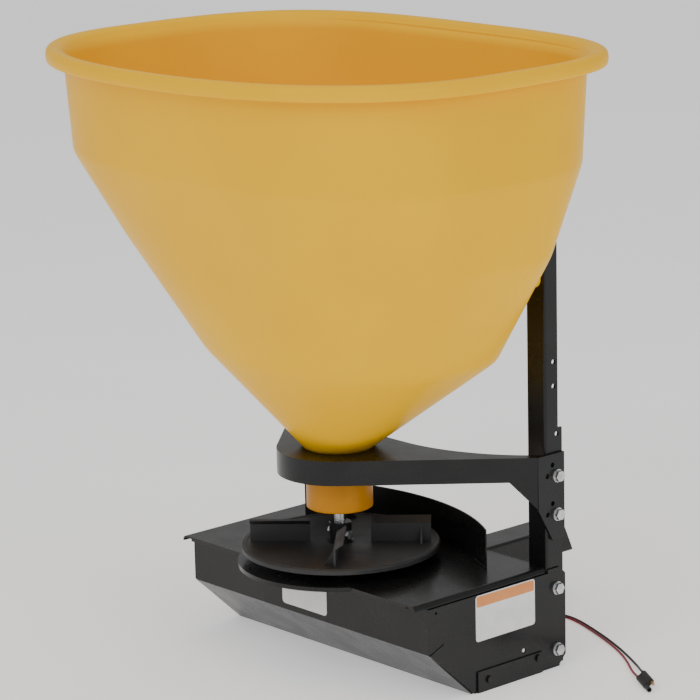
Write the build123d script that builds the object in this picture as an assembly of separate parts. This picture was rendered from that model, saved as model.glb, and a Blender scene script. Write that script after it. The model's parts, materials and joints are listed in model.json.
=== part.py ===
from build123d import *
import math
import os

# Tailgate salt spreader, millimetres, +Z up. The origin is the centre of the base's flat
# foot. +Y points at the vehicle, so the drawbar runs towards +Y and salt is thrown towards -Y.

# ---- Driving dimensions ----
SPINNER_Y = -90.0            # spinner axis, in front of the foot's centre
DECK_TOP = 133.5
DISC_TOP = 154.5
PLATE_TOP = 280.5            # plate that the hopper stands on
KNEE_Z = 402.5               # hopper: foot of its vertical back wall
LEDGE_Z = 545.0              # hopper: top of that wall, just above the masts
CREASE_Z = 655.0
BAND_TOP_Z = 774.0
RIM_TOP_Z = 792.0

SHEET = 2.0                  # base sheet metal
DECK_SHEET = 2.5
FRAME_SHEET = 4.0            # hopper frame
MAST_SHEET = 3.0
HOPPER_WALL = 5.0
GAP = 0.3                    # between curved faces of separate pieces

BASE_HALF_WIDTH = 225.0
BASE_FRONT_Y = SPINNER_Y - 59.0
BASE_BEND_Z = 67.5
FOOT_FRONT_Y = -77.0
FOOT_REAR_Y = 77.0
BASE_REAR_Y = 88.0

MAST_OUTER_X = 222.5
MAST_WIDTH = 32.5
MAST_FRONT_Y = 57.0
MAST_DEPTH_LOW = 29.0
MAST_DEPTH_HIGH = 22.0
MAST_STEP_Z = 311.5
MAST_TOP_Z = 548.0
TAB_BOLT_Y = 73.0
TAB_BOLT_ZS = (251.5, 201.5)
PANEL_BOLT_Y = 72.5
PANEL_BOLT_ZS = (104.5, 23.5)
BOLT_RADIUS = 4.0

DISC_RADIUS = 127.0
SHAFT_RADIUS = 7.94
HUB_RADIUS = 14.4
VANE_COUNT = 4
VANE_INNER = 39.0
VANE_OUTER = 115.5
NECK_RADIUS = 42.4
NECK_BOTTOM_Z = 201.8

GEAR_MODULE = 2.0
GEAR_TEETH = 45
PINION_TEETH = 15
PRESSURE_ANGLE = math.radians(25)
BACKLASH = 0.25
MOTOR_Y = SPINNER_Y + GEAR_MODULE * (GEAR_TEETH + PINION_TEETH) / 2

DRAWBAR_WIDTH = 50.8
DRAWBAR_HEIGHT = 38.1
DRAWBAR_WALL = 3.2
DRAWBAR_TOP_Z = 97.6
DRAWBAR_FRONT_Y = 30.0
DRAWBAR_END_Y = 308.0
HITCH_HOLE_RADIUS = 8.15
HITCH_HOLE_Y = DRAWBAR_END_Y - 76.0

WIRE_RADIUS = 1.6
WIRE_SPACING = 3.8
GLAND_X = 55.0
GLAND_Z = 40.0

PARTS = {}


# ---- Small helpers ----
def block(x0, x1, y0, y1, z0, z1):
    """A box given by its lowest and highest corners."""
    centre = ((x0 + x1) / 2, (y0 + y1) / 2, (z0 + z1) / 2)
    return Pos(*centre) * Box(x1 - x0, y1 - y0, z1 - z0)


def upright(radius, x, y, z0, z1):
    """A cylinder along Z."""
    return Pos(x, y, (z0 + z1) / 2) * Cylinder(radius, z1 - z0)


def along_x(radius, x0, x1, y, z):
    """A cylinder along X."""
    return Pos((x0 + x1) / 2, y, z) * Rot(0, 90, 0) * Cylinder(radius, abs(x1 - x0))


def along_y(radius, x, y0, y1, z):
    """A cylinder along Y."""
    return Pos(x, (y0 + y1) / 2, z) * Rot(90, 0, 0) * Cylinder(radius, abs(y1 - y0))


def side_extrusion(points, x0, x1):
    """A closed outline of (y, z) points, extruded along X."""
    outline = make_face(Polyline(*[(0, y, z) for y, z in points], close=True))
    return Pos(x0, 0, 0) * extrude(outline, amount=x1 - x0, dir=(1, 0, 0))


def mirrored(solid):
    """The same piece on the other side of the YZ plane."""
    return mirror(solid, about=Plane.YZ)


def hexagon_along_x(across_flats, x0, x1, y, z):
    radius = across_flats / math.sqrt(3)
    section = Plane((min(x0, x1), y, z), x_dir=(0, 1, 0), z_dir=(1, 0, 0)) * RegularPolygon(radius, 6)
    return extrude(section, amount=abs(x1 - x0), dir=(1, 0, 0))


def flange_bolt(side, seat_x, y, z, grip):
    """A hex bolt with a washer face, its head outwards on the given side (+1 or -1)."""
    washer = along_x(8.4, seat_x, seat_x + side * 1.8, y, z)
    head = hexagon_along_x(12.7, seat_x + side * 1.8, seat_x + side * 7.0, y, z)
    shank = along_x(BOLT_RADIUS, seat_x - side * grip, seat_x, y, z)
    return (washer + head + shank).clean()


def flange_nut(side, seat_x, y, z):
    """A hex nut on the inner face, on the bolt's thread with a hair of clearance."""
    nut = hexagon_along_x(12.7, seat_x, seat_x - side * 6.5, y, z)
    return nut - along_x(BOLT_RADIUS + 0.05, seat_x + side, seat_x - side * 8.0, y, z)


# ---- Hopper ----
# Each level: half width, front Y, back Y, Y of the widest line, front and back powers, Z.
# A power of 2 is an ellipse; a higher power is squarer.
KNEE = (200.0, -219.0, 51.0, -80.0, 2.3, 3.7, KNEE_Z)
LEDGE = (288.0, -285.0, 51.0, -110.0, 2.6, 5.8, LEDGE_Z)
CREASE = (328.0, -339.0, 135.0, -140.0, 2.8, 3.2, CREASE_Z)
BAND = (327.0, -373.0, 140.0, -140.0, 2.4, 3.4, BAND_TOP_Z)
LIP = (340.0, -389.0, 156.5, -141.0, 2.3, 3.3, RIM_TOP_Z)
LEVEL_POINTS = 40


def level(shape, grow=0.0, z=None):
    """One level of the hopper as a face, grown outwards by the given amount."""
    half_width, front_y, back_y, middle_y, front_power, back_power, own_z = shape
    points = []
    for index in range(LEVEL_POINTS):
        angle = 2 * math.pi * index / LEVEL_POINTS
        across = math.cos(angle)
        along = math.sin(angle)
        power = front_power if along < 0 else back_power
        reach = (abs(across) ** power + abs(along) ** power) ** (-1 / power)
        depth = middle_y - front_y + grow if along < 0 else back_y - middle_y + grow
        x = (half_width + grow) * reach * across
        points.append((x, middle_y + depth * reach * along, own_z if z is None else z))
    return make_face(Spline(*points, periodic=True))


def stack(levels):
    """A solid through a list of levels, straight-sided between them."""
    body = loft([levels[0], levels[1]], ruled=True)
    for lower, upper in zip(levels[1:-1], levels[2:]):
        body += loft([lower, upper], ruled=True)
    return body


def throat(radius):
    return (radius, SPINNER_Y - radius, SPINNER_Y + radius, SPINNER_Y, 2.0, 2.0, PLATE_TOP)


def hopper():
    """One moulded piece: neck, funnel, upright band, rolled lip and bosses for the masts."""
    levels = [KNEE, LEDGE, CREASE, BAND]
    outer = stack([level(throat(NECK_RADIUS + 2))] + [level(shape) for shape in levels])
    inside = [level(throat(NECK_RADIUS - HOPPER_WALL + 1))]
    inside += [level(shape, -HOPPER_WALL) for shape in levels]
    inside.append(level(BAND, -HOPPER_WALL, RIM_TOP_Z + 1))
    lip_bottom = RIM_TOP_Z - 19.0
    lip = stack([
        level(LIP, 7.5, lip_bottom),
        level(LIP, 9.5, lip_bottom + 3),
        level(LIP, 9.5, RIM_TOP_Z - 6),
        level(LIP, 7.5, RIM_TOP_Z - 2),
        level(LIP, 3.5, RIM_TOP_Z),
    ])
    lip -= extrude(level(LIP, 5.0, lip_bottom - 1) - level(BAND, 1.0, lip_bottom - 1), amount=14)
    neck = upright(NECK_RADIUS, 0, SPINNER_Y, NECK_BOTTOM_Z, PLATE_TOP + 3)
    bore = upright(NECK_RADIUS - HOPPER_WALL, 0, SPINNER_Y, NECK_BOTTOM_Z - 1, PLATE_TOP + 3)
    shell = outer + lip + neck
    for side in (1, -1):
        for z in HOPPER_BOLT_ZS:
            shell += along_y(11.0, side * HOPPER_BOLT_X, 10, MAST_FRONT_Y, z)
    shell = shell - stack(inside) - bore
    for side in (1, -1):
        for z in HOPPER_BOLT_ZS:
            shell -= along_y(2.8, side * HOPPER_BOLT_X, MAST_FRONT_Y - 9, MAST_FRONT_Y + 1, z)
    return shell


# ---- Hopper frame: plate, skirt and bolting tabs, one welded piece ----
ARM_ANGLE = 47.7
APEX_RADIUS = 79.0
SKIRT_BOTTOM_Z = 249.0
TAB_X = MAST_OUTER_X + FRAME_SHEET
TAB_REAR_Y = 86.0
TAB_BOTTOM_Z = 168.5
GUSSET_TOP_Y = 14.0
GUSSET_FOOT_Z = 211.5


def hopper_frame():
    cosine = math.cos(math.radians(ARM_ANGLE))
    sine = math.sin(math.radians(ARM_ANGLE))
    tangent = (APEX_RADIUS * sine, SPINNER_Y - APEX_RADIUS * cosine)
    reach = (TAB_X - tangent[0]) / cosine
    elbow = (TAB_X, tangent[1] + reach * sine)
    rear_y = MAST_FRONT_Y - 1.0
    outline = Wire([
        ThreePointArc((-tangent[0], tangent[1]), (0, SPINNER_Y - APEX_RADIUS), tangent),
        Line(tangent, elbow),
        Line(elbow, (TAB_X, rear_y)),
        Line((TAB_X, rear_y), (TAB_X - FRAME_SHEET, rear_y)),
        ThreePointArc((TAB_X - FRAME_SHEET, rear_y), (150, 2), (60, -20.5)),
        Line((60, -20.5), (-60, -20.5)),
        ThreePointArc((-60, -20.5), (-150, 2), (FRAME_SHEET - TAB_X, rear_y)),
        Line((FRAME_SHEET - TAB_X, rear_y), (-TAB_X, rear_y)),
        Line((-TAB_X, rear_y), (-elbow[0], elbow[1])),
        Line((-elbow[0], elbow[1]), (-tangent[0], tangent[1])),
    ])
    plate = Pos(0, 0, PLATE_TOP - FRAME_SHEET) * extrude(make_face(outline), amount=FRAME_SHEET)
    plate -= upright(NECK_RADIUS + GAP, 0, SPINNER_Y, PLATE_TOP - 10, PLATE_TOP + 10)

    skirt_drop = PLATE_TOP - SKIRT_BOTTOM_Z
    nose = upright(APEX_RADIUS, 0, SPINNER_Y, SKIRT_BOTTOM_Z, PLATE_TOP)
    nose -= upright(APEX_RADIUS - FRAME_SHEET, 0, SPINNER_Y, SKIRT_BOTTOM_Z - 1, PLATE_TOP + 1)
    for side in (1, -1):
        keep = Pos(0, SPINNER_Y, PLATE_TOP) * Rot(0, 0, side * (ARM_ANGLE - 90))
        nose -= keep * Pos(side * -200, 200, 0) * Box(400, 400, 200)
    piece = plate + nose
    for side in (1, -1):
        arm = Pos(0, SPINNER_Y, 0) * Rot(0, 0, ARM_ANGLE)
        web = block(0, reach, -APEX_RADIUS, FRAME_SHEET - APEX_RADIUS, SKIRT_BOTTOM_Z, PLATE_TOP)
        web_solid = arm * web
        gusset_start = (GUSSET_TOP_Y - SPINNER_Y - tangent[1] + SPINNER_Y) / sine
        profile = [
            (gusset_start, PLATE_TOP - 1),
            (reach, PLATE_TOP - 1),
            (reach, GUSSET_FOOT_Z),
            (gusset_start, SKIRT_BOTTOM_Z),
        ]
        gusset = make_face(Polyline(*[(x, -APEX_RADIUS, z) for x, z in profile], close=True))
        web_solid += arm * extrude(gusset, amount=FRAME_SHEET, dir=(0, 1, 0))
        web_solid &= block(0, TAB_X, -400, 400, 0, PLATE_TOP)
        tab_points = [
            (elbow[1] - 1.5, PLATE_TOP),
            (TAB_REAR_Y, PLATE_TOP),
            (TAB_REAR_Y, TAB_BOTTOM_Z),
            (TAB_REAR_Y - 21, TAB_BOTTOM_Z),
            (elbow[1] - 1.5, GUSSET_FOOT_Z),
        ]
        tab = side_extrusion(tab_points, TAB_X - FRAME_SHEET, TAB_X)
        for z in TAB_BOLT_ZS:
            tab -= along_x(BOLT_RADIUS + 0.3, TAB_X - 10, TAB_X + 10, TAB_BOLT_Y, z)
            tab -= along_x(3.3, TAB_X - 10, TAB_X + 10, TAB_BOLT_Y - 8, z + 15)
            tab -= along_x(3.3, TAB_X - 10, TAB_X + 10, TAB_BOLT_Y - 17, z + 2)
        half = web_solid + tab
        piece += half if side > 0 else mirrored(half)
    return piece.clean()


def neck_ring():
    """Clamp ring on the hopper's neck, under the plate."""
    top = PLATE_TOP - FRAME_SHEET
    ring = upright(51, 0, SPINNER_Y, top - 10, top)
    return ring - upright(NECK_RADIUS + GAP, 0, SPINNER_Y, top - 11, top + 1)


# ---- Masts ----
HOPPER_BOLT_X = MAST_OUTER_X - MAST_WIDTH / 2
HOPPER_BOLT_ZS = (503.0, 532.0)
MAST_HOLE_PITCH = 31.0
MAST_HOLE_FIRST_Z = 366.0
MAST_HOLE_COUNT = 2
MAST_LOW_HOLE_Z = 304.0


def mast():
    """Right-hand post: a channel open to the rear, deeper below its step."""
    inner_x = MAST_OUTER_X - MAST_WIDTH
    post = block(inner_x, MAST_OUTER_X, MAST_FRONT_Y, MAST_FRONT_Y + MAST_DEPTH_LOW, 4, MAST_STEP_Z)
    post += block(inner_x, MAST_OUTER_X, MAST_FRONT_Y, MAST_FRONT_Y + MAST_DEPTH_HIGH, 4, MAST_TOP_Z)
    front_edges = post.edges().filter_by(Axis.Z).group_by(Axis.Y)[0]
    post = fillet(front_edges, 3.0)
    channel = block(inner_x + MAST_SHEET, MAST_OUTER_X - MAST_SHEET,
                    MAST_FRONT_Y + MAST_SHEET, MAST_FRONT_Y + 60, 0, MAST_TOP_Z + 10)
    post -= fillet(channel.edges().filter_by(Axis.Z).group_by(Axis.Y)[0], 1.5)
    for z in TAB_BOLT_ZS:
        post -= along_x(BOLT_RADIUS + 0.3, MAST_OUTER_X - 10, MAST_OUTER_X + 5, TAB_BOLT_Y, z)
    for z in PANEL_BOLT_ZS:
        post -= along_x(BOLT_RADIUS + 0.3, MAST_OUTER_X - 10, MAST_OUTER_X + 5, PANEL_BOLT_Y, z)
    for index in range(MAST_HOLE_COUNT):
        z = MAST_HOLE_FIRST_Z + index * MAST_HOLE_PITCH
        post -= along_x(3.3, inner_x - 5, MAST_OUTER_X + 5, MAST_FRONT_Y + 15, z)
    post -= along_x(3.3, inner_x - 5, MAST_OUTER_X + 5, MAST_FRONT_Y + 20, MAST_LOW_HOLE_Z)
    for z in HOPPER_BOLT_ZS:
        post -= along_y(3.3, HOPPER_BOLT_X, MAST_FRONT_Y - 5, MAST_FRONT_Y + 10, z)
    for z in CROSS_BOLT_ZS:
        post -= along_y(3.3, HOPPER_BOLT_X, MAST_FRONT_Y - 5, MAST_FRONT_Y + 10, z)
    return post


def hopper_bolts():
    """Screws through the masts into the hopper's back wall."""
    bolts = []
    for side in (1, -1):
        for z in HOPPER_BOLT_ZS:
            x = side * HOPPER_BOLT_X
            seat = MAST_FRONT_Y + MAST_SHEET
            bolts.append(along_y(2.75, x, MAST_FRONT_Y - 8, seat, z) + along_y(6.0, x, seat, seat + 4, z))
    return bolts


def frame_fasteners():
    """The eight flange bolts and their nuts: two per tab and two per side panel."""
    bolts = []
    nuts = []
    for side in (1, -1):
        for z in TAB_BOLT_ZS:
            bolts.append(flange_bolt(side, side * TAB_X, TAB_BOLT_Y, z, 18))
            nuts.append(flange_nut(side, side * (MAST_OUTER_X - MAST_SHEET), TAB_BOLT_Y, z))
        for z in PANEL_BOLT_ZS:
            bolts.append(flange_bolt(side, side * BASE_HALF_WIDTH, PANEL_BOLT_Y, z, 16.5))
            nuts.append(flange_nut(side, side * (MAST_OUTER_X - MAST_SHEET), PANEL_BOLT_Y, z))
    return bolts, nuts


# ---- Base ----
COVER_FLANGE_TOP = 27.5
COVER_SCREW_SPOTS = ((36.5, 20.5), (-50.0, 14.0))
COVER_REAR_Y = 44.0


def side_panel():
    """Right-hand side sheet of the base."""
    points = [
        (BASE_FRONT_Y, DECK_FLANGE_Z - 0.3),
        (MAST_FRONT_Y, DECK_FLANGE_Z - 0.3),
        (MAST_FRONT_Y, DECK_TOP - DECK_SHEET),
        (BASE_REAR_Y - 10, DECK_TOP - DECK_SHEET),
        (BASE_REAR_Y, DECK_TOP - DECK_SHEET - 10),
        (BASE_REAR_Y, 14),
        (FOOT_REAR_Y, SHEET + 0.2),
        (FOOT_FRONT_Y + 1, SHEET + 0.2),
        (BASE_FRONT_Y, BASE_BEND_Z),
    ]
    panel = side_extrusion(points, BASE_HALF_WIDTH - SHEET, BASE_HALF_WIDTH)
    for z in PANEL_BOLT_ZS:
        panel -= along_x(BOLT_RADIUS + 0.3, 200, 240, PANEL_BOLT_Y, z)
    panel -= along_x(3.4, 200, 240, SPINNER_Y + 103, 35)
    for y, z in COVER_SCREW_SPOTS:
        panel -= along_x(2.2, 200, 240, y, z)
    panel -= along_x(1.8, 200, 240, BASE_FRONT_Y + 12, 119.5)
    # A short relief slit where the sheet turns round the front bend.
    panel -= side_extrusion([(BASE_FRONT_Y - 1, 66.0), (BASE_FRONT_Y + 24, 76.5),
                             (BASE_FRONT_Y + 24, 78.0), (BASE_FRONT_Y - 1, 67.8)], 200, 240)
    return panel


def front_panel():
    """Front face with its lower half sloping back to the foot."""
    outer = [
        (BASE_FRONT_Y, DECK_TOP - DECK_SHEET - 0.2),
        (BASE_FRONT_Y, BASE_BEND_Z),
        (FOOT_FRONT_Y, 0),
    ]
    slope = math.atan2(BASE_BEND_Z, FOOT_FRONT_Y - BASE_FRONT_Y)
    shift = SHEET * math.tan((math.pi / 2 - slope) / 2)
    inner = [
        (FOOT_FRONT_Y + SHEET / math.sin(slope), 0),
        (BASE_FRONT_Y + SHEET, BASE_BEND_Z + shift),
        (BASE_FRONT_Y + SHEET, DECK_TOP - DECK_SHEET - 0.2),
    ]
    half_width = DECK_SIDE_X - 7.2
    upper = side_extrusion(outer + inner, -half_width, half_width)
    half_width = BASE_HALF_WIDTH - SHEET - 0.2
    lower = side_extrusion(outer + inner, -half_width, half_width)
    return upper + (lower & block(-half_width, half_width, -400, 400, 0, DECK_FLANGE_Z - 0.3))


def rear_panel():
    half_width = BASE_HALF_WIDTH - SHEET - 0.2
    top = DECK_TOP - DECK_SHEET - 0.2
    panel = block(-half_width, half_width, BASE_REAR_Y - SHEET, BASE_REAR_Y, 14, top - 10)
    bar_bottom = DRAWBAR_TOP_Z - DRAWBAR_HEIGHT
    clear = DRAWBAR_WIDTH / 2 + 1
    panel -= block(-clear, clear, 0, 200, bar_bottom - 1, DRAWBAR_TOP_Z + 1)
    panel -= along_y(6.0, GLAND_X, BASE_REAR_Y - 10, BASE_REAR_Y + 10, GLAND_Z)
    return panel


def bottom_cover():
    """Removable pan: the foot, with a flange up each side."""
    front = FOOT_FRONT_Y + 4
    width = BASE_HALF_WIDTH + GAP + SHEET
    pan = block(-width, width, front + 4, COVER_REAR_Y, 0, COVER_FLANGE_TOP)
    pan -= block(-width + SHEET, width - SHEET, front - 10, 60, SHEET, 60)
    pan += block(-BASE_HALF_WIDTH, BASE_HALF_WIDTH, front, FOOT_REAR_Y, 0, SHEET)
    for y, z in COVER_SCREW_SPOTS:
        pan -= along_x(2.7, -240, 240, y, z)
    return pan


def cover_screws():
    screws = []
    seat = BASE_HALF_WIDTH + GAP + SHEET
    for side in (1, -1):
        for y, z in COVER_SCREW_SPOTS:
            head = along_x(4.6, side * seat, side * (seat + 2.6), y, z)
            screws.append(head + along_x(2.1, side * (seat - 8), side * seat, y, z))
    return screws


DECK_SIDE_X = 222.0
DECK_FLANGE_Z = 126.5
DECK_FRONT_Y = SPINNER_Y - 79.5
TONGUE_RADIUS = 132.0
SEAL_RADIUS = 16.0


def deck_plate():
    """Top sheet: rolled side flanges, a hemmed front edge and a round tongue under the disc."""
    rear = MAST_FRONT_Y - 0.5
    deck = block(-DECK_SIDE_X, DECK_SIDE_X, DECK_FRONT_Y, rear, DECK_FLANGE_Z, DECK_TOP)
    side_edges = deck.edges().filter_by(Axis.Y).group_by(Axis.Z)[-1]
    deck = fillet(side_edges, 6.5)
    under = block(-DECK_SIDE_X + 2.3, DECK_SIDE_X - 2.3, DECK_FRONT_Y - 1, rear + 1,
                  DECK_FLANGE_Z - 20, DECK_TOP - DECK_SHEET)
    deck -= fillet(under.edges().filter_by(Axis.Y).group_by(Axis.Z)[-1], 4.6)
    hem_width = 9.0
    deck += block(-205, 205, DECK_FRONT_Y, DECK_FRONT_Y + hem_width, DECK_TOP - 5.5, DECK_TOP - DECK_SHEET)
    tongue = upright(TONGUE_RADIUS, 0, SPINNER_Y, DECK_TOP - 5.5, DECK_TOP)
    tongue -= upright(TONGUE_RADIUS - hem_width, 0, SPINNER_Y, DECK_TOP - 20, DECK_TOP - DECK_SHEET)
    tongue &= block(-200, 200, SPINNER_Y - 200, DECK_FRONT_Y + 1, 0, 200)
    deck += tongue
    deck -= upright(SEAL_RADIUS + GAP, 0, SPINNER_Y, 0, 200)
    for x, y in deck_screw_spots():
        deck -= upright(2.7, x, y, 100, 200)
    return deck.clean()


def deck_screw_spots():
    """The six screws that hold the gearbox under the deck."""
    spots = []
    for side in (1, -1):
        for y in (SPINNER_Y - 30, SPINNER_Y + 25, MOTOR_Y + 30):
            spots.append((side * 60.0, y))
    return spots


DEFLECTOR_TOP = 184.5
DEFLECTOR_END_X = 172.0


def deflector():
    """Curved shield between the disc and the vehicle, welded to the deck."""
    middle = (0, SPINNER_Y + 143)
    end = (DEFLECTOR_END_X, SPINNER_Y + 92)
    bow = ThreePointArc((-end[0], end[1]), middle, end)
    outer = make_face(Wire([bow, Line(end, (end[0], end[1] - 60)),
                            Line((end[0], end[1] - 60), (-end[0], end[1] - 60)),
                            Line((-end[0], end[1] - 60), (-end[0], end[1]))]))
    sheet = extrude(outer, amount=DEFLECTOR_TOP - DECK_TOP)
    inner = Pos(0, -SHEET, -1) * extrude(outer, amount=DEFLECTOR_TOP)
    inner += block(-DEFLECTOR_END_X - 1, DEFLECTOR_END_X + 1, -200, end[1] - SHEET, -5, 200)
    sheet = Pos(0, 0, DECK_TOP) * (sheet - inner)
    return sheet


CROSS_BOLT_ZS = (45.0, 112.0)


def cross_member():
    """Channel between the masts that carries the drawbar."""
    half_width = MAST_OUTER_X - 0.5
    rear = MAST_FRONT_Y - 0.2
    channel = block(-half_width, half_width, rear - 28, rear, 34, 122)
    channel -= block(-half_width - 1, half_width + 1, rear - 40, rear - 4, 38, 118)
    bar_bottom = DRAWBAR_TOP_Z - DRAWBAR_HEIGHT
    clear = DRAWBAR_WIDTH / 2 + 0.2
    channel -= block(-clear, clear, 0, 100, bar_bottom - 0.2, DRAWBAR_TOP_Z + 0.2)
    for side in (1, -1):
        for z in CROSS_BOLT_ZS:
            channel -= along_y(3.3, side * HOPPER_BOLT_X, 0, 100, z)
    return channel


def cross_bolts():
    bolts = []
    for side in (1, -1):
        for z in CROSS_BOLT_ZS:
            x = side * HOPPER_BOLT_X
            seat = MAST_FRONT_Y - 4.2
            head = along_y(5.5, x, seat - 5, seat, z)
            shank = along_y(3.0, x, seat, MAST_FRONT_Y + 14, z)
            washer = along_y(6.5, x, MAST_FRONT_Y + MAST_SHEET, MAST_FRONT_Y + MAST_SHEET + 5, z)
            bolts.append(head + shank + washer)
    return bolts


def drawbar():
    """Hitch bar towards the vehicle, with a cross hole for the hitch pin and a bevelled end."""
    half = DRAWBAR_WIDTH / 2
    bottom = DRAWBAR_TOP_Z - DRAWBAR_HEIGHT
    bar = block(-half, half, DRAWBAR_FRONT_Y, DRAWBAR_END_Y, bottom, DRAWBAR_TOP_Z)
    bar = fillet(bar.edges().filter_by(Axis.Y), 4)
    wall = DRAWBAR_WALL
    core = block(-half + wall, half - wall, DRAWBAR_FRONT_Y - 1, DRAWBAR_END_Y + 1,
                 bottom + wall, DRAWBAR_TOP_Z - wall)
    bar -= core
    bevel = [
        (DRAWBAR_END_Y, bottom - 0.1),
        (DRAWBAR_END_Y + 10, bottom - 0.1),
        (DRAWBAR_END_Y + 10, DRAWBAR_TOP_Z + 1),
        (DRAWBAR_END_Y - 17, DRAWBAR_TOP_Z + 1),
    ]
    bar -= side_extrusion(bevel, -half - 5, half + 5)
    bar -= along_x(HITCH_HOLE_RADIUS, -half - 5, half + 5, HITCH_HOLE_Y, (bottom + DRAWBAR_TOP_Z) / 2)
    return bar


# ---- Gearbox and motor ----
CASE_TOP = DECK_TOP - DECK_SHEET
COVER_BOTTOM = CASE_TOP - 4.0
CASE_BOTTOM = 96.0
CASE_FLOOR = 101.0
GEAR_BOTTOM = 106.0
GEAR_THICKNESS = 12.0
BEARING_RADIUS = 14.0
GEARBOX_RADIUS = 53.0


def stadium(radius, z0, z1):
    """A long round form about both gear axes."""
    form = upright(radius, 0, SPINNER_Y, z0, z1) + upright(radius, 0, MOTOR_Y, z0, z1)
    return form + block(-radius, radius, SPINNER_Y, MOTOR_Y, z0, z1)


def gearbox_cover():
    cover = stadium(GEARBOX_RADIUS, COVER_BOTTOM, CASE_TOP)
    for x, y in deck_screw_spots():
        lug = upright(8, x, y, COVER_BOTTOM, CASE_TOP) + block(
            min(x, x * 0.6), max(x, x * 0.6), y - 6, y + 6, COVER_BOTTOM, CASE_TOP)
        cover += lug
    for x, y in deck_screw_spots():
        cover -= upright(2.7, x, y, COVER_BOTTOM - 5, CASE_TOP + 5)
    cover -= upright(BEARING_RADIUS + 0.05, 0, SPINNER_Y, COVER_BOTTOM - 5, CASE_TOP + 5)
    return cover.clean()


def gearbox_housing():
    case = stadium(GEARBOX_RADIUS, CASE_BOTTOM, COVER_BOTTOM)
    case -= stadium(GEARBOX_RADIUS - 4.5, CASE_FLOOR, COVER_BOTTOM + 1)
    case += upright(20, 0, SPINNER_Y, CASE_BOTTOM - 8, CASE_FLOOR)
    case -= upright(12.05, 0, SPINNER_Y, CASE_BOTTOM - 20, CASE_FLOOR + 1)
    case -= upright(9.0, 0, MOTOR_Y, CASE_BOTTOM - 5, CASE_FLOOR + 1)
    return case.clean()


def gearbox_screws():
    """Screws from above through the deck into the cover, with washers below."""
    screws = []
    for x, y in deck_screw_spots():
        head = upright(4.8, x, y, DECK_TOP, DECK_TOP + 2.8)
        shank = upright(2.5, x, y, COVER_BOTTOM - 7, DECK_TOP)
        nut = upright(5.0, x, y, COVER_BOTTOM - 5, COVER_BOTTOM)
        screws.append(head + shank + nut)
    return screws


def lower_bearing():
    ring = upright(12.0, 0, SPINNER_Y, CASE_BOTTOM - 7, CASE_FLOOR)
    return ring - upright(SHAFT_RADIUS + 0.05, 0, SPINNER_Y, 0, 200)


def upper_bearing():
    ring = upright(BEARING_RADIUS, 0, SPINNER_Y, COVER_BOTTOM - 3, CASE_TOP)
    return ring - upright(SHAFT_RADIUS + 0.05, 0, SPINNER_Y, 0, 200)


def shaft_seal():
    seal = upright(SEAL_RADIUS, 0, SPINNER_Y, CASE_TOP, DECK_TOP + 2)
    seal += upright(SEAL_RADIUS - 4, 0, SPINNER_Y, DECK_TOP + 2, DECK_TOP + 5)
    return seal - upright(SHAFT_RADIUS + 0.08, 0, SPINNER_Y, 0, 200)


MOTOR_RADIUS = 35.0
MOTOR_BOTTOM = 18.0


def motor_can():
    can = upright(MOTOR_RADIUS, 0, MOTOR_Y, MOTOR_BOTTOM + 8, CASE_BOTTOM)
    can = fillet(can.edges().group_by(Axis.Z)[0], 3)
    inside = upright(MOTOR_RADIUS - 3, 0, MOTOR_Y, MOTOR_BOTTOM, CASE_BOTTOM - 4)
    can -= inside
    return can - upright(7.0, 0, MOTOR_Y, 0, 200)


def motor_end_cap():
    cap = upright(MOTOR_RADIUS - 3.2, 0, MOTOR_Y, MOTOR_BOTTOM, MOTOR_BOTTOM + 14)
    cap = fillet(cap.edges().group_by(Axis.Z)[0], 3)
    cap -= upright(MOTOR_RADIUS - 7, 0, MOTOR_Y, MOTOR_BOTTOM + 4, MOTOR_BOTTOM + 20)
    cap -= upright(4.05, 0, MOTOR_Y, MOTOR_BOTTOM + 2, MOTOR_BOTTOM + 20)
    return cap


def involute_gear(teeth, thickness, phase):
    """A spur gear about the origin, with one tooth centred on the given angle."""
    pitch = GEAR_MODULE * teeth / 2
    base = pitch * math.cos(PRESSURE_ANGLE)
    tip = pitch + GEAR_MODULE * 0.95
    root = pitch - GEAR_MODULE * 1.25
    start = max(base, root)

    def roll(radius):
        angle = math.acos(min(1.0, base / radius))
        return math.tan(angle) - angle

    half_tooth = (math.pi * GEAR_MODULE / 2 - BACKLASH) / 2 / pitch
    blank = Cylinder(root, thickness)
    for index in range(teeth):
        centre = phase + index * 2 * math.pi / teeth

        def flank(radius, side):
            angle = centre + side * (half_tooth + roll(pitch) - roll(radius))
            return (radius * math.cos(angle), radius * math.sin(angle))

        radii = [start + (tip - start) * step / 4 for step in range(5)]
        foot = centre + (half_tooth + roll(pitch) - roll(start))
        inner = root - 0.5
        left_root = (inner * math.cos(foot), inner * math.sin(foot))
        mirror_foot = 2 * centre - foot
        right_root = (inner * math.cos(mirror_foot), inner * math.sin(mirror_foot))
        left = Spline(*[flank(radius, 1) for radius in radii])
        right = Spline(*[flank(radius, -1) for radius in reversed(radii)])
        crown_mid = (tip * math.cos(centre), tip * math.sin(centre))
        tooth = Wire([
            Line(left_root, flank(radii[0], 1)),
            left,
            ThreePointArc(flank(tip, 1), crown_mid, flank(tip, -1)),
            right,
            Line(flank(radii[0], -1), right_root),
            Line(right_root, left_root),
        ])
        blank += Pos(0, 0, -thickness / 2) * extrude(make_face(tooth), amount=thickness)
    return blank


def output_gear():
    gear = involute_gear(GEAR_TEETH, GEAR_THICKNESS, math.pi / 2)
    gear -= Cylinder(SHAFT_RADIUS + 0.03, 100)
    for index in range(5):
        angle = index * 72
        gear -= Rot(0, 0, angle + 36) * Pos(25, 0, 0) * Cylinder(8.5, 100)
    return Pos(0, SPINNER_Y, GEAR_BOTTOM + GEAR_THICKNESS / 2) * gear


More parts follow.
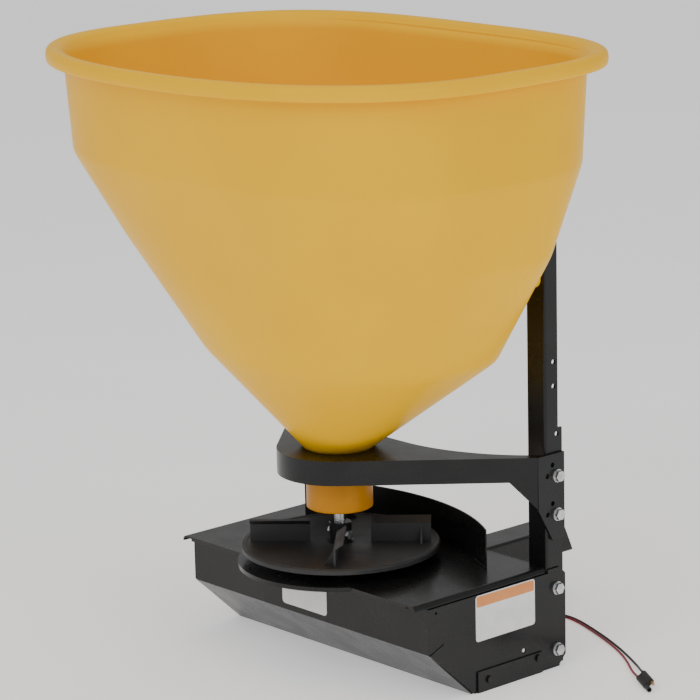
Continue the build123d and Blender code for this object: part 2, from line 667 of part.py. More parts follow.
def motor_pinion():
    phase = -math.pi / 2 + math.pi / PINION_TEETH
    pinion = involute_gear(PINION_TEETH, GEAR_THICKNESS + 2, phase)
    pinion -= Cylinder(4.03, 100)
    return Pos(0, MOTOR_Y, GEAR_BOTTOM + GEAR_THICKNESS / 2) * pinion


def motor_shaft():
    """Armature on its shaft; its lower end turns in the end cap."""
    armature = upright(24, 0, MOTOR_Y, MOTOR_BOTTOM + 22, CASE_BOTTOM - 10)
    return armature + upright(4.0, 0, MOTOR_Y, MOTOR_BOTTOM + 2.5, GEAR_BOTTOM + GEAR_THICKNESS + 4)


# ---- Spinner ----
SHAFT_TOP = 400.0
AGITATOR_Z = 322.0
HUB_TOP = DISC_TOP + 26.5
HUB_BOLT_Z = DISC_TOP + 11.0
DISC_SHEET = 3.0
DISC_LIP = 6.5


def spinner_shaft():
    shaft = upright(SHAFT_RADIUS, 0, SPINNER_Y, CASE_BOTTOM - 10, SHAFT_TOP)
    shaft = chamfer(shaft.edges().group_by(Axis.Z)[-1], 1.5)
    shaft -= along_x(3.05, -20, 20, SPINNER_Y, HUB_BOLT_Z)
    shaft -= along_x(3.05, -20, 20, SPINNER_Y, AGITATOR_Z)
    return shaft


def spinner_hub():
    hub = upright(HUB_RADIUS, 0, SPINNER_Y, DISC_TOP, HUB_TOP)
    hub = chamfer(hub.edges().group_by(Axis.Z)[-1], 1.2)
    hub += upright(HUB_RADIUS - 2, 0, SPINNER_Y, DISC_TOP - 7, DISC_TOP)
    hub += upright(HUB_RADIUS + 1.6, 0, SPINNER_Y, DISC_TOP, DISC_TOP + 2.2)
    hub -= upright(SHAFT_RADIUS + 0.05, 0, SPINNER_Y, 0, 300)
    return hub - along_x(3.05, -30, 30, SPINNER_Y, HUB_BOLT_Z)


def spinner_disc():
    disc = upright(DISC_RADIUS, 0, SPINNER_Y, DISC_TOP - DISC_LIP, DISC_TOP)
    disc = fillet(disc.edges().group_by(Axis.Z)[-1], 1.8)
    disc -= upright(DISC_RADIUS - DISC_SHEET, 0, SPINNER_Y, 0, DISC_TOP - DISC_SHEET)
    return disc - upright(HUB_RADIUS - 2 + 0.05, 0, SPINNER_Y, 0, 300)


def vane(index):
    """Bent blade on the disc, with a leaning lip and a small gusset near its outer end."""
    sheet = 2.5
    height = 22.5
    profile = Polyline((0, 0), (0, height), (10, height + 7), (8.6, height + 9),
                       (-sheet, height + 1.2), (-sheet, 0), close=True)
    face = Plane((VANE_INNER, 0, 0), x_dir=(0, 1, 0), z_dir=(1, 0, 0)) * make_face(profile)
    blade = extrude(face, amount=VANE_OUTER - VANE_INNER, dir=(1, 0, 0))
    web = make_face(Polyline((0, -sheet, 0), (0, -sheet - 13, 0), (0, -sheet, 19), close=True))
    gusset = Pos(VANE_OUTER - 13.5, 0, 0) * extrude(web, amount=sheet, dir=(1, 0, 0))
    place = Pos(0, SPINNER_Y, DISC_TOP) * Rot(0, 0, 45 + index * 360 / VANE_COUNT)
    return place * (blade + gusset)


def hub_bolt():
    seat = HUB_RADIUS + 0.1
    bolt = along_x(3.0, -seat - 6, seat, SPINNER_Y, HUB_BOLT_Z)
    return bolt + hexagon_along_x(10, seat, seat + 4.2, SPINNER_Y, HUB_BOLT_Z)


def hub_nut():
    seat = HUB_RADIUS + 0.1
    nut = hexagon_along_x(10, -seat - 5, -seat, SPINNER_Y, HUB_BOLT_Z)
    return nut - along_x(3.05, -40, 40, SPINNER_Y, HUB_BOLT_Z)


def agitator():
    """Bent rod through the shaft that keeps the salt loose above the throat."""
    reach = 40.0
    route = FilletPolyline(
        (-reach, SPINNER_Y, AGITATOR_Z + 40), (-reach, SPINNER_Y, AGITATOR_Z),
        (reach, SPINNER_Y, AGITATOR_Z), (reach, SPINNER_Y, AGITATOR_Z + 40), radius=8)
    start = Plane(route @ 0, z_dir=route % 0)
    return sweep(start * Circle(3.0), path=route)


def feed_paddles():
    """Two pitched paddles in the neck that meter the salt onto the disc."""
    paddles = []
    for side in (1, -1):
        blade = Pos(side * 21.0, 0, 0) * Rot(side * 35, 0, 0) * Box(25, 3, 26)
        blade -= Cylinder(SHAFT_RADIUS + 0.05, 100)
        paddles.append(Pos(0, SPINNER_Y, 232) * blade)
    return paddles


def shaft_clip():
    z = CASE_BOTTOM - 8.5
    return upright(11, 0, SPINNER_Y, z - 1.5, z) - upright(SHAFT_RADIUS + 0.03, 0, SPINNER_Y, 0, 200)


# ---- Lead ----
# Each wire leaves the gland, drops behind the base and lies on the floor to its plug.
BLACK_ROUTE = [
    (GLAND_X, 93.1, 42.2), (GLAND_X, 106.0, 41.6), (55.5, 120.0, 35.0), (56.2, 135.0, 21.0),
    (57.0, 152.0, 7.6), (59.0, 171.0, 1.7), (62.0, 193.0, 1.7), (71.5, 214.0, 1.7),
    (92.0, 224.5, 1.7), (120.0, 221.0, 1.7), (157.0, 208.5, 1.7), (196.0, 193.5, 1.7),
    (234.0, 176.5, 1.7), (265.0, 160.5, 1.7), (290.0, 146.0, 2.2), (308.0, 133.5, 4.2),
    (324.5, 120.0, 7.4), (339.3, 109.9, 9.5),
]
RED_ROUTE = [
    (GLAND_X, 93.1, 37.8), (GLAND_X, 105.0, 37.2), (55.8, 117.0, 31.2), (57.2, 131.0, 18.2),
    (59.6, 147.0, 5.8), (63.0, 167.5, 1.7), (67.0, 190.0, 1.7), (75.5, 209.5, 1.7),
    (93.0, 219.8, 1.7), (119.5, 216.5, 1.7), (155.5, 204.2, 1.7), (194.0, 189.4, 1.7),
    (231.5, 172.4, 1.7), (261.5, 155.8, 1.7), (285.0, 139.5, 1.9), (304.0, 124.5, 2.4),
    (321.0, 112.5, 3.2), (336.1, 104.4, 3.9),
]
PLUG_POSITION = (338.0, 107.0, 6.7)
PLUG_TURN = -31.0
PLUG_LEAN = 42.0
PLUG_HALF_PITCH = 4.2


def wire(name, route):
    """A tube of straight runs joined by tangent arcs, each as large as its runs allow."""
    radii = []
    for before, here, after in zip(route, route[1:], route[2:]):
        inward = Vector(*here) - Vector(*before)
        outward = Vector(*after) - Vector(*here)
        turn = math.radians(inward.get_angle(outward))
        radii.append(0.45 * min(inward.length, outward.length) / math.tan(turn / 2))
    path = FilletPolyline(*route, radius=radii)
    start = Plane(path @ 0, z_dir=path % 0)
    tube = sweep(start * Circle(WIRE_RADIUS), path=path)
    ideal = math.pi * WIRE_RADIUS ** 2 * path.length
    print(name, "length", round(path.length, 1), "volume ratio", round(tube.volume / ideal, 4))
    print("   radii", [round(radius, 1) for radius in radii])
    return tube


def wire_gland():
    gland = along_y(5.7, GLAND_X, BASE_REAR_Y - 6, BASE_REAR_Y + 5, GLAND_Z)
    gland += along_y(8.5, GLAND_X, BASE_REAR_Y, BASE_REAR_Y + 2.5, GLAND_Z)
    return gland


def plug_body():
    """Flat two-way plug: a twin grip that ends in one shrouded socket."""
    tube = 3.8
    body = along_x(tube, 0, 32, PLUG_HALF_PITCH, 0) + along_x(tube, 0, 32, -PLUG_HALF_PITCH, 0)
    body += block(0, 32, -PLUG_HALF_PITCH, PLUG_HALF_PITCH, -3.2, 3.2)
    body += along_x(3.2, 30, 46, -PLUG_HALF_PITCH, 0)
    body -= along_x(1.9, 34, 50, -PLUG_HALF_PITCH, 0)
    return plug_place() * body


def plug_pin():
    pin = along_x(1.8, 32, 43, PLUG_HALF_PITCH, 0)
    return plug_place() * fillet(pin.edges().group_by(Axis.X)[-1], 0.8)


def plug_place():
    return Pos(*PLUG_POSITION) * Rot(0, 0, PLUG_TURN) * Rot(PLUG_LEAN, 0, 0)


# ---- Labels ----
def side_label():
    """Blank label plate on the right-hand side panel."""
    return block(BASE_HALF_WIDTH, BASE_HALF_WIDTH + 0.4, -70, 33, 66, 125.5)


def front_label():
    return block(-48, 37, BASE_FRONT_Y - 0.4, BASE_FRONT_Y, 75.5, 118)


# ---- Build every piece ----
def build_parts():
    bolts, nuts = frame_fasteners()
    PARTS.update({
        "hopper": hopper(),
        "hopper_frame": hopper_frame(),
        "neck_ring": neck_ring(),
        "hopper_bolts": hopper_bolts(),
        "mast_right": mast(),
        "mast_left": mirrored(mast()),
        "frame_bolts": bolts,
        "frame_nuts": nuts,
        "side_panel_right": side_panel(),
        "side_panel_left": mirrored(side_panel()),
        "front_panel": front_panel(),
        "rear_panel": rear_panel(),
        "bottom_cover": bottom_cover(),
        "cover_screws": cover_screws(),
        "deck_plate": deck_plate(),
        "deflector": deflector(),
        "cross_member": cross_member(),
        "cross_bolts": cross_bolts(),
        "drawbar": drawbar(),
        "gearbox_housing": gearbox_housing(),
        "gearbox_cover": gearbox_cover(),
        "gearbox_screws": gearbox_screws(),
        "lower_bearing": lower_bearing(),
        "upper_bearing": upper_bearing(),
        "shaft_seal": shaft_seal(),
        "motor_can": motor_can(),
        "motor_end_cap": motor_end_cap(),
        "motor_pinion": motor_pinion(),
        "motor_shaft": motor_shaft(),
        "output_gear": output_gear(),
        "spinner_shaft": spinner_shaft(),
        "spinner_hub": spinner_hub(),
        "spinner_disc": spinner_disc(),
        "hub_bolt": hub_bolt(),
        "hub_nut": hub_nut(),
        "agitator": agitator(),
        "feed_paddles": feed_paddles(),
        "shaft_clip": shaft_clip(),
        "wire_gland": wire_gland(),
        "wire_black": wire("wire_black", BLACK_ROUTE),
        "wire_red": wire("wire_red", RED_ROUTE),
        "plug_body": plug_body(),
        "plug_pin": plug_pin(),
        "side_label": side_label(),
        "front_label": front_label(),
    })
    for index in range(VANE_COUNT):
        PARTS["vane_" + str(index + 1)] = vane(index)


build_parts()
os.makedirs("parts", exist_ok=True)
for node, shape in PARTS.items():
    if isinstance(shape, list):
        shape = Compound(shape)
    export_step(shape, "parts/" + node + ".step")
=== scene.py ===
import bpy, bmesh, json, math
from mathutils import Matrix, Vector


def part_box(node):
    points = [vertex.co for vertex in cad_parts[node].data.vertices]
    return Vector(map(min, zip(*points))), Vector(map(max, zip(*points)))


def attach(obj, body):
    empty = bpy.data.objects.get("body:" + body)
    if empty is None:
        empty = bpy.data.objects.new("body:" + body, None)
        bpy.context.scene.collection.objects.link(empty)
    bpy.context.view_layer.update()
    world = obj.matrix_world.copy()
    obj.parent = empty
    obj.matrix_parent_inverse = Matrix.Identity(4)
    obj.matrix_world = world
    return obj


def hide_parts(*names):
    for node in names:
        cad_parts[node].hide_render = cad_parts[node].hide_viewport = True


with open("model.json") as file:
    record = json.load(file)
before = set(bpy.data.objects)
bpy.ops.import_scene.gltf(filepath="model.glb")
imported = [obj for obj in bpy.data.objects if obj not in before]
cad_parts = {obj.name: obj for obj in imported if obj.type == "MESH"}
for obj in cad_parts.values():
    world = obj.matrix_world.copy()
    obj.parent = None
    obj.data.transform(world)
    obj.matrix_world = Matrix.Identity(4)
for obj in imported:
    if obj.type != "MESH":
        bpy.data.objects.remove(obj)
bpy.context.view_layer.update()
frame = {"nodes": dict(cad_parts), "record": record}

BODY = "chassis"
SPINNER = "spinner"
AXIS_Y = -0.090
DECK_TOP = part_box("deck_plate")[1][2]
DISC_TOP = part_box("spinner_disc")[1][2]

# ---------------------------------------------------------------- camera
scene = bpy.context.scene
aim = Vector((0.0, -0.067, 0.4005))
azimuth, elevation, roll = math.radians(48.28), math.radians(13.385), math.radians(-1.2835)
back = Vector((math.sin(azimuth) * math.cos(elevation), -math.cos(azimuth) * math.cos(elevation),
               math.sin(elevation)))
right = Vector((math.cos(azimuth), math.sin(azimuth), 0.0))
up = back.cross(right)
right, up = (math.cos(roll) * right + math.sin(roll) * up, -math.sin(roll) * right + math.cos(roll) * up)
camera_data = bpy.data.cameras.new("camera")
camera_data.lens = 162.97
camera_data.sensor_width = 36.0
camera_data.clip_end = 50.0
camera = bpy.data.objects.new("camera", camera_data)
scene.collection.objects.link(camera)
place = Matrix((right, up, back)).transposed().to_4x4()
place.translation = aim + 4.0 * back
camera.matrix_world = place
scene.camera = camera


# ---------------------------------------------------------------- small helpers
def link(obj):
    scene.collection.objects.link(obj)
    return obj


def new_mesh(name, vertices, faces, smooth=True, angle=35):
    mesh = bpy.data.meshes.new(name)
    mesh.from_pydata([tuple(v) for v in vertices], [], faces)
    mesh.validate()
    mesh.update()
    obj = link(bpy.data.objects.new(name, mesh))
    shade(obj, smooth, angle)
    return obj


def shade(obj, smooth=True, angle=35):
    mesh = obj.data
    mesh.polygons.foreach_set("use_smooth", [smooth] * len(mesh.polygons))
    if smooth:
        mesh.set_sharp_from_angle(angle=math.radians(angle))


def piece(obj, material, body=BODY):
    obj.data.materials.clear()
    obj.data.materials.append(material)
    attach(obj, body)
    return obj


# ---------------------------------------------------------------- cords
BLACK_ROUTE = [
    (0.055, 0.0931, 0.0422), (0.055, 0.106, 0.0416), (0.0555, 0.120, 0.035), (0.0562, 0.135, 0.021),
    (0.057, 0.152, 0.0076), (0.059, 0.171, 0.0017), (0.062, 0.193, 0.0017), (0.0715, 0.214, 0.0017),
    (0.092, 0.2245, 0.0017), (0.120, 0.221, 0.0017), (0.157, 0.2085, 0.0017), (0.196, 0.1935, 0.0017),
    (0.234, 0.1765, 0.0017), (0.265, 0.1605, 0.0017), (0.290, 0.146, 0.0022), (0.308, 0.1335, 0.0042),
    (0.3245, 0.120, 0.0074), (0.3393, 0.1099, 0.0095),
]
RED_ROUTE = [
    (0.055, 0.0931, 0.0378), (0.055, 0.105, 0.0372), (0.0558, 0.117, 0.0312), (0.0572, 0.131, 0.0182),
    (0.0596, 0.147, 0.0058), (0.063, 0.1675, 0.0017), (0.067, 0.190, 0.0017), (0.0755, 0.2095, 0.0017),
    (0.093, 0.2198, 0.0017), (0.1195, 0.2165, 0.0017), (0.1555, 0.2042, 0.0017), (0.194, 0.1894, 0.0017),
    (0.2315, 0.1724, 0.0017), (0.2615, 0.1558, 0.0017), (0.285, 0.1395, 0.0019), (0.304, 0.1245, 0.0024),
    (0.321, 0.1125, 0.0032), (0.3361, 0.1044, 0.0039),
]


def wire(name, node, route):
    curve = bpy.data.curves.new(name, "CURVE")
    curve.dimensions = "3D"
    spline = curve.splines.new("NURBS")
    spline.points.add(len(route) - 1)
    for point, place in zip(spline.points, route):
        point.co = (*place, 1.0)
    spline.order_u = 3
    spline.use_endpoint_u = True
    spline.resolution_u = 12
    curve.bevel_depth = 0.0016
    curve.bevel_resolution = 6
    curve.use_fill_caps = True
    obj = link(bpy.data.objects.new(name, curve))
    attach(obj, BODY)
    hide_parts(node)
    return obj


black_wire = wire("lead_black", "wire_black", BLACK_ROUTE)
red_wire = wire("lead_red", "wire_red", RED_ROUTE)

# ---------------------------------------------------------------- floor and light
floor_mesh = bpy.data.meshes.new("floor")
floor_mesh.from_pydata([(-9, -9, -0.0002), (9, -9, -0.0002), (9, 9, -0.0002), (-9, 9, -0.0002)], [], [(0, 1, 2, 3)])
floor = link(bpy.data.objects.new("floor", floor_mesh))

world = bpy.data.worlds.new("studio")
world.use_nodes = True
world.node_tree.nodes["Background"].inputs["Color"].default_value = (1.0, 1.0, 1.0, 1.0)
world.node_tree.nodes["Background"].inputs["Strength"].default_value = 0.55
scene.world = world


def area_light(name, place, target, size, power, size_y=None):
    data = bpy.data.lights.new(name, "AREA")
    data.shape = "RECTANGLE"
    data.size = size
    data.size_y = size_y or size
    data.energy = power
    obj = link(bpy.data.objects.new(name, data))
    obj.location = place
    direction = Vector(target) - Vector(place)
    obj.rotation_euler = direction.to_track_quat("-Z", "Y").to_euler()
    return obj


area_light("key", (0.6, -2.6, 2.4), (0, 0, 0.4), 1.6, 24)
area_light("side", (2.8, -0.3, 1.5), (0, 0, 0.4), 1.4, 15)
area_light("top", (0, -0.2, 3.2), (0, 0, 0.4), 2.2, 18)


# ---------------------------------------------------------------- materials
def material(name, color, roughness, metallic=0.0, **sockets):
    mat = bpy.data.materials.new(name)
    mat.use_nodes = True
    tree = mat.node_tree
    shader = tree.nodes["Principled BSDF"]
    shader.inputs["Base Color"].default_value = (*color, 1.0)
    shader.inputs["Roughness"].default_value = roughness
    shader.inputs["Metallic"].default_value = metallic
    for key, value in sockets.items():
        shader.inputs[key.replace("_", " ")].default_value = value
    return mat


def noise(mat, scale, detail=3.0, rough=0.5, stretch=None):
    tree = mat.node_tree
    coords = tree.nodes.new("ShaderNodeTexCoord")
    node = tree.nodes.new("ShaderNodeTexNoise")
    node.inputs["Scale"].default_value = scale
    node.inputs["Detail"].default_value = detail
    node.inputs["Roughness"].default_value = rough
    if stretch:
        mapping = tree.nodes.new("ShaderNodeMapping")
        mapping.inputs["Scale"].default_value = stretch
        tree.links.new(coords.outputs["Object"], mapping.inputs["Vector"])
        tree.links.new(mapping.outputs["Vector"], node.inputs["Vector"])
    else:
        tree.links.new(coords.outputs["Object"], node.inputs["Vector"])
    return node


def vary_color(mat, node, dark, light, low=0.35, high=0.65):
    tree = mat.node_tree
    ramp = tree.nodes.new("ShaderNodeValToRGB")
    ramp.color_ramp.elements[0].position = low
    ramp.color_ramp.elements[0].color = (*dark, 1.0)
    ramp.color_ramp.elements[1].position = high
    ramp.color_ramp.elements[1].color = (*light, 1.0)
    tree.links.new(node.outputs["Fac"], ramp.inputs["Fac"])
    tree.links.new(ramp.outputs["Color"], tree.nodes["Principled BSDF"].inputs["Base Color"])
    return ramp


def vary_roughness(mat, node, low, high):
    tree = mat.node_tree
    span = tree.nodes.new("ShaderNodeMapRange")
    span.inputs["From Min"].default_value = 0.3
    span.inputs["From Max"].default_value = 0.7
    span.inputs["To Min"].default_value = low
    span.inputs["To Max"].default_value = high
    tree.links.new(node.outputs["Fac"], span.inputs["Value"])
    tree.links.new(span.outputs["Result"], tree.nodes["Principled BSDF"].inputs["Roughness"])


def bump(mat, node, strength, distance):
    tree = mat.node_tree
    step = tree.nodes.new("ShaderNodeBump")
    step.inputs["Strength"].default_value = strength
    step.inputs["Distance"].default_value = distance
    tree.links.new(node.outputs["Fac"], step.inputs["Height"])
    tree.links.new(step.outputs["Normal"], tree.nodes["Principled BSDF"].inputs["Normal"])


def textured(name, dark, light, rough, color_scale=9.0, rough_scale=25.0, grain=600.0, grain_strength=0.15,
             grain_depth=0.0002, metallic=0.0, stretch=None, **sockets):
    mat = material(name, light, rough[0], metallic, **sockets)
    vary_color(mat, noise(mat, color_scale), dark, light)
    vary_roughness(mat, noise(mat, rough_scale), *rough)
    bump(mat, noise(mat, grain, stretch=stretch), grain_strength, grain_depth)
    return mat


YELLOW = textured("hopper_yellow", (0.94, 0.50, 0.0015), (0.98, 0.54, 0.0025), (0.30, 0.38), 5.0, 12.0, 450.0,
                  0.08, 0.0003, Specular_IOR_Level=0.05)
# Darker copy of the hopper yellow: painted shade for the frame plate's shadow on the hopper neck.
NECK_PAINTED_SHADE = textured("neck_painted_shade", (0.60, 0.23, 0.002), (0.68, 0.27, 0.004), (0.34, 0.44), 20.0, 12.0, 450.0,
                 0.10, 0.0003,
                 Specular_IOR_Level=0.2)
BLACK = textured("black_powder_coat", (0.006, 0.0065, 0.007), (0.010, 0.0105, 0.011), (0.24, 0.32), 12.0,
                 30.0, 900.0,
                 0.12, 0.00012, Specular_IOR_Level=0.25, Coat_Weight=0.10, Coat_Roughness=0.12)
SLATE = textured("disc_black", (0.014, 0.014, 0.015), (0.022, 0.022, 0.023), (0.46, 0.58), 14.0, 30.0,
                 900.0, 0.3, 0.0002)
ZINC = textured("zinc", (0.50, 0.51, 0.52), (0.66, 0.67, 0.68), (0.25, 0.40), 120.0, 200.0, 1500.0, 0.2,
                0.0001, 1.0)
CHROME = textured("shaft_steel", (0.62, 0.63, 0.65), (0.74, 0.75, 0.77), (0.14, 0.22), 60.0, 120.0,
                  900.0, 0.1,
                  0.0001, 1.0, (1, 1, 0.05))
STEEL = textured("gear_steel", (0.34, 0.34, 0.35), (0.44, 0.44, 0.45), (0.30, 0.45), 80.0, 90.0, 1200.0,
                 0.2, 0.0001, 1.0)
CAST = textured("cast_aluminium", (0.42, 0.43, 0.44), (0.55, 0.56, 0.57), (0.45, 0.60), 60.0, 90.0,
                700.0, 0.4, 0.0003, 0.9)
BRONZE = textured("bronze", (0.45, 0.28, 0.10), (0.58, 0.38, 0.16), (0.35, 0.5), 90.0, 90.0, 1500.0, 0.3,
                  0.0001, 1.0)
RUBBER = textured("rubber", (0.014, 0.014, 0.014), (0.024, 0.024, 0.024), (0.5, 0.65), 50.0, 60.0,
                  1500.0, 0.2, 0.0001)
WIRE_BLACK = textured("wire_black", (0.010, 0.010, 0.010), (0.018, 0.016, 0.016), (0.35, 0.5), 90.0,
                      90.0, 1500.0, 0.1, 0.0001)
WIRE_RED = textured("wire_red", (0.20, 0.012, 0.025), (0.30, 0.02, 0.04), (0.35, 0.5), 90.0, 90.0,
                    1500.0, 0.1, 0.0001)
FLOOR = textured("floor_paper", (0.90, 0.90, 0.90), (0.93, 0.93, 0.93), (0.8, 0.9), 2.0, 3.0, 200.0,
                 0.05, 0.0002,
                 Emission_Color=(1.0, 1.0, 1.0, 1.0), Emission_Strength=0.45)
floor.data.materials.append(FLOOR)
black_wire.data.materials.append(WIRE_BLACK)
red_wire.data.materials.append(WIRE_RED)

SLOT_MATERIALS = {
    "painted_black": BLACK, "disc_black": SLATE, "zinc": ZINC, "shaft_chrome": CHROME, "gear_steel": STEEL,
    "cast_case": CAST, "seal_rubber": RUBBER, "bronze": BRONZE, "wire_black": WIRE_BLACK, "wire_red": WIRE_RED,
    "plug_grip": RUBBER, "hopper_yellow": YELLOW,
}


WHITE = textured("label_white", (0.78, 0.78, 0.78), (0.86, 0.86, 0.86), (0.3, 0.4), 40.0, 40.0, 900.0,
                 0.05, 0.0001)
ORANGE = textured("label_orange", (0.72, 0.25, 0.06), (0.80, 0.30, 0.08), (0.3, 0.4), 40.0, 40.0, 900.0,
                  0.05, 0.0001)
SLOT_MATERIALS["label_white"] = WHITE

slots = {entry["node"]: entry["material_slot"] for entry in frame["record"]["subparts"]}
BEVELLED = {
    "side_panel_right": 0.0006, "side_panel_left": 0.0006, "front_panel": 0.0006, "rear_panel": 0.0006,
    "bottom_cover": 0.0006, "deck_plate": 0.0006, "deflector": 0.0005, "hopper_frame": 0.0008, "drawbar": 0.0006,
    "mast_right": 0.0006, "mast_left": 0.0006, "frame_bolts": 0.0005, "cross_member": 0.0006, "hub_bolt": 0.0003,
    "hub_nut": 0.0003, "vane_1": 0.0005, "vane_2": 0.0005, "vane_3": 0.0005, "vane_4": 0.0005,
}
for node, obj in frame["nodes"].items():
    if node in ("hopper", "wire_black", "wire_red"):
        continue
    obj.data.materials.clear()
    obj.data.materials.append(SLOT_MATERIALS[slots[node]])
    shade(obj, True, 30)
    if node in BEVELLED:
        bevel = obj.modifiers.new("soft_edges", "BEVEL")
        bevel.width = BEVELLED[node]
        bevel.segments = 2
        bevel.limit_method = "ANGLE"
        bevel.angle_limit = math.radians(40)
        bevel.harden_normals = True


# ---------------------------------------------------------------- hopper
# Each level: half width, front Y, back Y, Y of the widest line, front power, back power, Z. Lengths are in mm.
THROAT = (44.4, -134.4, -45.6, -90.0, 2.0, 2.0, 280.5)
KNEE = (200.0, -219.0, 51.0, -80.0, 2.3, 3.7, 402.5)
LEDGE = (288.0, -285.0, 51.0, -110.0, 2.6, 5.8, 545.0)
CREASE = (328.0, -339.0, 135.0, -140.0, 2.8, 3.2, 655.0)
BAND = (327.0, -373.0, 140.0, -140.0, 2.4, 3.4, 774.0)
LIP = (340.0, -389.0, 156.5, -141.0, 2.3, 3.3, 792.0)
AROUND = 192


def ring(shape, grow=0.0, z=None):
    half_width, front_y, back_y, middle_y, front_power, back_power, own_z = shape
    points = []
    for index in range(AROUND):
        angle = 2 * math.pi * index / AROUND
        across = math.cos(angle)
        along = math.sin(angle)
        power = front_power if along < 0 else back_power
        reach = (abs(across) ** power + abs(along) ** power) ** (-1 / power)
        depth = middle_y - front_y + grow if along < 0 else back_y - middle_y + grow
        points.append(Vector(((half_width + grow) * reach * across, middle_y + depth * reach * along,
                              own_z if z is None else z)) / 1000)
    return points


def between(lower, upper, steps):
    rows = []
    for step in range(steps):
        t = step / steps
        rows.append([a.lerp(b, t) for a, b in zip(lower, upper)])
    return rows


def soften(rows, passes, keep_first, keep_last):
    """Rounds the corners of each column of points."""
    for _ in range(passes):
        fresh = [row[:] for row in rows]
        for index in range(keep_first, len(rows) - keep_last):
            before, here, after = rows[index - 1], rows[index], rows[index + 1]
            fresh[index] = [a * 0.25 + b * 0.5 + c * 0.25 for a, b, c in zip(before, here, after)]
        rows = fresh
    return rows


def wall(inset):
    """Rows of points up one side of the wall, from throat to band."""
    levels = [ring(shape, -inset) for shape in (THROAT, KNEE, LEDGE, CREASE, BAND)]
    counts = (30, 34, 26, 28)
    rows = []
    for lower, upper, count in zip(levels, levels[1:], counts):
        rows += between(lower, upper, count)
    rows.append(levels[-1])
    return soften(rows, 2, 1, 1)


def lip_rows():
    """Rows over the rolled lip, from under its skirt to inside the mouth."""
    profile = [(1.2, 784.0), (4.2, 784.0), (5.2, 782.5), (5.4, 778.0), (5.6, 774.2), (6.4, 773.1), (7.8, 773.4),
               (9.0, 775.0), (9.5, 777.5), (9.6, 781.0), (9.4, 784.5), (8.6, 787.6), (7.0, 789.9), (4.6, 791.4),
               (1.6, 792.0), (-2.0, 791.8), (-5.6, 790.9), (-8.8, 789.2), (-11.4, 786.6), (-13.0, 783.4)]
    return [ring(LIP, grow, z) for grow, z in profile]


outer = wall(0.0)
inner = wall(5.0)
neck_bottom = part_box("hopper")[0][2] * 1000
NECK = 42.4


def circle(radius, z):
    return ring((radius, -90 - radius, -90 + radius, -90.0, 2.0, 2.0, z))


rows = [circle(NECK - 4.2, neck_bottom), circle(NECK - 1.0, neck_bottom), circle(NECK - 0.2, neck_bottom + 0.6)]
rows += [circle(NECK, neck_bottom + 2), circle(NECK, 240.0), circle(NECK, 276.0), circle(NECK, 279.5)]
painted_shade_rows = len(rows)
rows += [circle(44.0, 280.4)] + outer
top_ring = outer[-1]
rows.append([Vector((p.x, p.y, 0.783)) for p in top_ring])
rows += lip_rows()
inside_top = [a.lerp(b, 0.5) for a, b in zip(rows[-1], inner[-1])]
rows.append([Vector((a.x, a.y, 0.7805)) for a in inside_top])
rows += list(reversed(inner))
rows += [circle(NECK - 5.0, 276.0), circle(NECK - 5.0, 240.0), circle(NECK - 5.0, neck_bottom + 1)]
vertices = [point for row in rows for point in row]
faces = []
count = len(rows)
for level in range(count):
    following = (level + 1) % count
    for index in range(AROUND):
        step = (index + 1) % AROUND
        faces.append((level * AROUND + index, level * AROUND + step,
                      following * AROUND + step, following * AROUND + index))
hopper = new_mesh("hopper_shell", vertices, faces, True, 50)
hopper.data.materials.append(YELLOW)
hopper.data.materials.append(NECK_PAINTED_SHADE)
# The neck rows and the rows inside the neck get the darker yellow, which paints in the plate's shadow.
for polygon in hopper.data.polygons:
    if polygon.index // AROUND < painted_shade_rows or polygon.index // AROUND >= count - 3:
        polygon.material_index = 1
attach(hopper, BODY)
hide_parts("hopper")


def tube_between(name, start, end, radius, mat, segments=32, body=BODY):
    """A short solid cylinder with softened rims."""
    start = Vector(start)
    end = Vector(end)
    along = (end - start).normalized()
    side = along.orthogonal().normalized()
    other = along.cross(side)
    length = (end - start).length
    soft = min(radius, length) * 0.12
    profile = [(0.0, radius - soft), (soft, radius), (length - soft, radius), (length, radius - soft)]
    points = []
    for offset, r in profile:
        for index in range(segments):
            angle = 2 * math.pi * index / segments
            points.append(start + along * offset + (side * math.cos(angle) + other * math.sin(angle)) * r)
    faces = []
    for level in range(len(profile) - 1):
        for index in range(segments):
            step = (index + 1) % segments
            faces.append((level * segments + index, level * segments + step,
                          (level + 1) * segments + step, (level + 1) * segments + index))
    faces.append(tuple(reversed(range(segments))))
    faces.append(tuple(range((len(profile) - 1) * segments, len(profile) * segments)))
    return piece(new_mesh(name, points, faces, True, 40), mat, body)


for side, word in ((1, "right"), (-1, "left")):
    for z in (0.503, 0.532):
        tube_between("hopper_boss_%s_%d" % (word, z * 1000), (side * 0.20625, 0.036, z), (side * 0.20625, 0.0569, z),
                     0.011, YELLOW)

def rounded_outline(width, height, radius, steps=6):
    """Corner-rounded rectangle about its own centre."""
    points = []
    for turn, (sx, sy) in enumerate(((1, 1), (-1, 1), (-1, -1), (1, -1))):
        for step in range(steps + 1):
            angle = math.pi / 2 * (turn + step / steps)
            points.append((sx * (width / 2 - radius) + radius * math.cos(angle),
                           sy * (height / 2 - radius) + radius * math.sin(angle)))
    return points


def plate(name, place, outline, thickness, mat):
    """Thin prism; place maps (across, up, out) to a position."""
    count = len(outline)
    points = [place(a, b, 0.0) for a, b in outline] + [place(a, b, thickness) for a, b in outline]
    faces = [tuple(reversed(range(count))), tuple(range(count, 2 * count))]
    for index in range(count):
        step = (index + 1) % count
        faces.append((index, step, count + step, count + index))
    obj = new_mesh(name, points, faces, False)
    mesh = obj.data
    work = bmesh.new()
    work.from_mesh(mesh)
    bmesh.ops.recalc_face_normals(work, faces=work.faces)
    work.to_mesh(mesh)
    work.free()
    return piece(obj, mat)


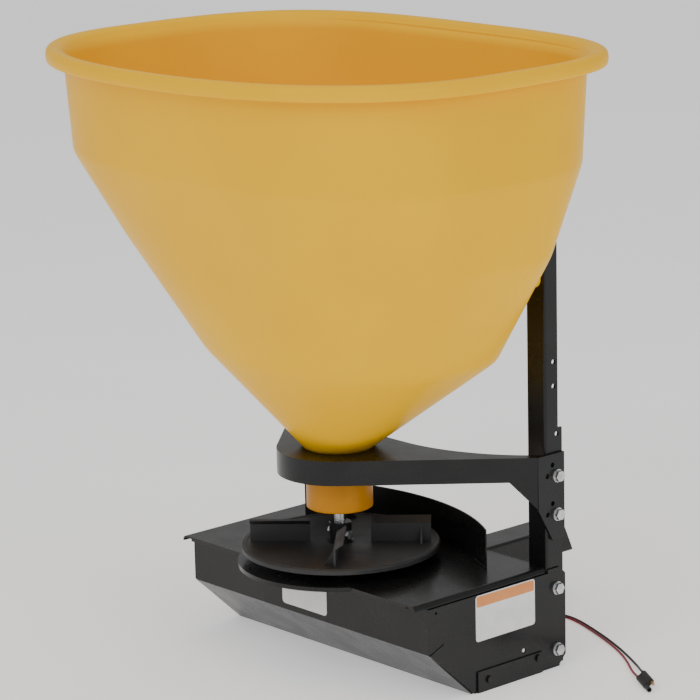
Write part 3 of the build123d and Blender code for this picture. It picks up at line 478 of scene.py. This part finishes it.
side_low, side_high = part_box("side_label")
side_x = side_low[0]
side_middle = (side_low[1] + side_high[1]) / 2
side_width = side_high[1] - side_low[1]
side_height = side_high[2] - side_low[2]


def on_side(a, b, out):
    return (side_x + out, side_middle + a, side_low[2] + side_height / 2 + b)


label = plate("side_label_film", on_side, rounded_outline(side_width, side_height, 0.004), 0.0003, WHITE)
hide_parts("side_label")
band_height = side_height * 0.235
band_middle = side_height / 2 - band_height / 2 - 0.0012


def on_band(a, b, out):
    return on_side(a, b + band_middle, out)


plate("side_label_band", on_band, rounded_outline(side_width - 0.003, band_height, 0.0025), 0.00038, ORANGE)
front_low, front_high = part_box("front_label")


def on_front(a, b, out):
    return ((front_low[0] + front_high[0]) / 2 + a, front_high[1] - out, (front_low[2] + front_high[2]) / 2 + b)


label = plate("front_label_film", on_front, rounded_outline(front_high[0] - front_low[0],
                                                            front_high[2] - front_low[2],
                                                            0.005), 0.0003, WHITE)
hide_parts("front_label")


def weld(name, places, radius=0.0020):
    """Bead of overlapping domes along a joint."""
    points, faces = [], []
    for place in places:
        base = len(points)
        for level in range(5):
            lift = math.pi * (level + 0.5) / 5
            for turn in range(8):
                spin = 2 * math.pi * turn / 8
                points.append(Vector(place) + radius * Vector((math.sin(lift) * math.cos(spin),
                                                               math.sin(lift) * math.sin(spin), math.cos(lift))))
        for level in range(4):
            for turn in range(8):
                step = (turn + 1) % 8
                faces.append((base + level * 8 + turn, base + (level + 1) * 8 + turn,
                              base + (level + 1) * 8 + step, base + level * 8 + step))
        faces.append(tuple(base + turn for turn in range(8)))
        faces.append(tuple(base + 32 + turn for turn in reversed(range(8))))
    return piece(new_mesh(name, points, faces, True, 60), BLACK)


def spaced(start, end, count):
    return [Vector(start).lerp(Vector(end), index / (count - 1)) for index in range(count)]


SHIELD_WELD_X = 0.168
SHIELD_WELD_RUN = 0.034
shield_end_y = AXIS_Y + 0.092
for side, word in ((1, "right"), (-1, "left")):
    weld("shield_weld_" + word, spaced((side * SHIELD_WELD_X, shield_end_y + 0.001, DECK_TOP + 0.0004),
                                       (side * (SHIELD_WELD_X - SHIELD_WELD_RUN), shield_end_y + 0.0175,
                                        DECK_TOP + 0.0004), 16))

disc_low, disc_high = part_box("spinner_disc")
disc_radius = (disc_high[0] - disc_low[0]) / 2


def annulus(name, inner_radius, outer_radius, bottom, height, mat, body, segments=160):
    """Low ring with softened rims round the spinner axis."""
    soft = min(height, outer_radius - inner_radius) * 0.4
    profile = [(inner_radius, bottom), (inner_radius, bottom + height - soft), (inner_radius + soft, bottom + height),
               (outer_radius - soft, bottom + height), (outer_radius, bottom + height - soft), (outer_radius, bottom)]
    points, faces = [], []
    for radius, z in profile:
        for index in range(segments):
            angle = 2 * math.pi * index / segments
            points.append((radius * math.cos(angle), AXIS_Y + radius * math.sin(angle), z))
    for level in range(len(profile)):
        following = (level + 1) % len(profile)
        for index in range(segments):
            step = (index + 1) % segments
            faces.append((level * segments + index, following * segments + index,
                          following * segments + step, level * segments + step))
    return piece(new_mesh(name, points, faces, True, 40), mat, body)


annulus("disc_rim_step", disc_radius - 0.0065, disc_radius - 0.0012, DISC_TOP - 0.0004, 0.0011, SLATE, SPINNER)
